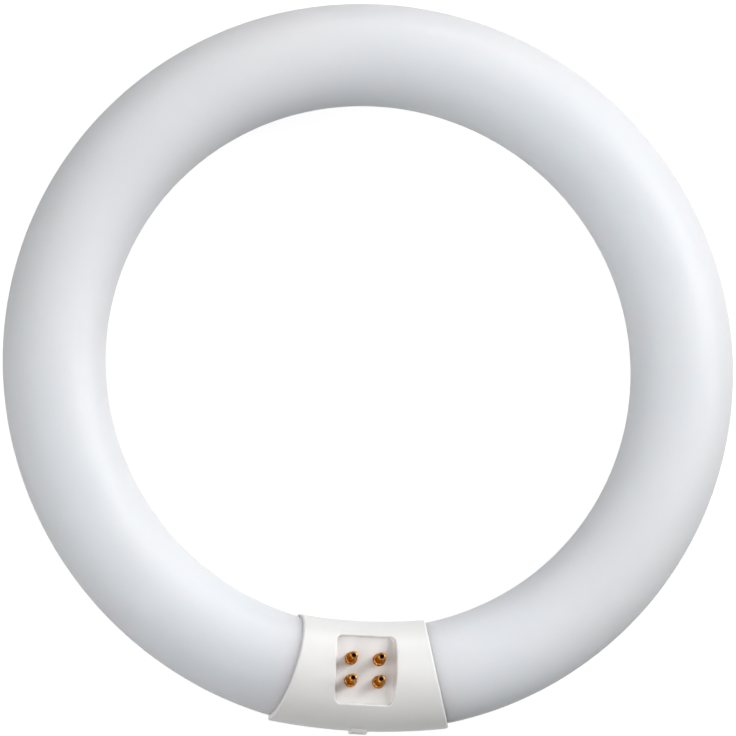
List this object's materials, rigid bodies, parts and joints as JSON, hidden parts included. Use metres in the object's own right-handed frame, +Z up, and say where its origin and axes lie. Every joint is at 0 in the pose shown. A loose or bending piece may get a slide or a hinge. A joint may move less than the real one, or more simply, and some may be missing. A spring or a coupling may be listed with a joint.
{
  "type": "circular fluorescent tube",
  "caption": "Ring-shaped white fluorescent tube whose ends meet in a moulded plastic base with a recess holding brass contact pins.",
  "frame": {"origin": "on the ring's axis, on the surface the lamp lies on", "axes": "+Z up along the ring's axis and the pins, -Y from the ring's centre towards the base, +X to the right in the picture"},
  "size_m": [0.2074, 0.2085, 0.0335],
  "materials": {
    "coated_glass": "glossy clear glass with a white coating on its inside",
    "base_plastic": "satin moulded white plastic",
    "pin_brass": "drawn brass, slightly tarnished",
    "lead_metal": "plated wire"
  },
  "bodies": {
    "root": {"glass_tube": "coated_glass", "base_front_shell": "base_plastic", "base_rear_shell": "base_plastic", "contact_pin_left_inner": "pin_brass", "contact_pin_left_outer": "pin_brass", "contact_pin_right_inner": "pin_brass", "contact_pin_right_outer": "pin_brass", "lead_wire_left_inner": "lead_metal", "lead_wire_left_outer": "lead_metal", "lead_wire_right_inner": "lead_metal", "lead_wire_right_outer": "lead_metal"}
  },
  "joints": []
}
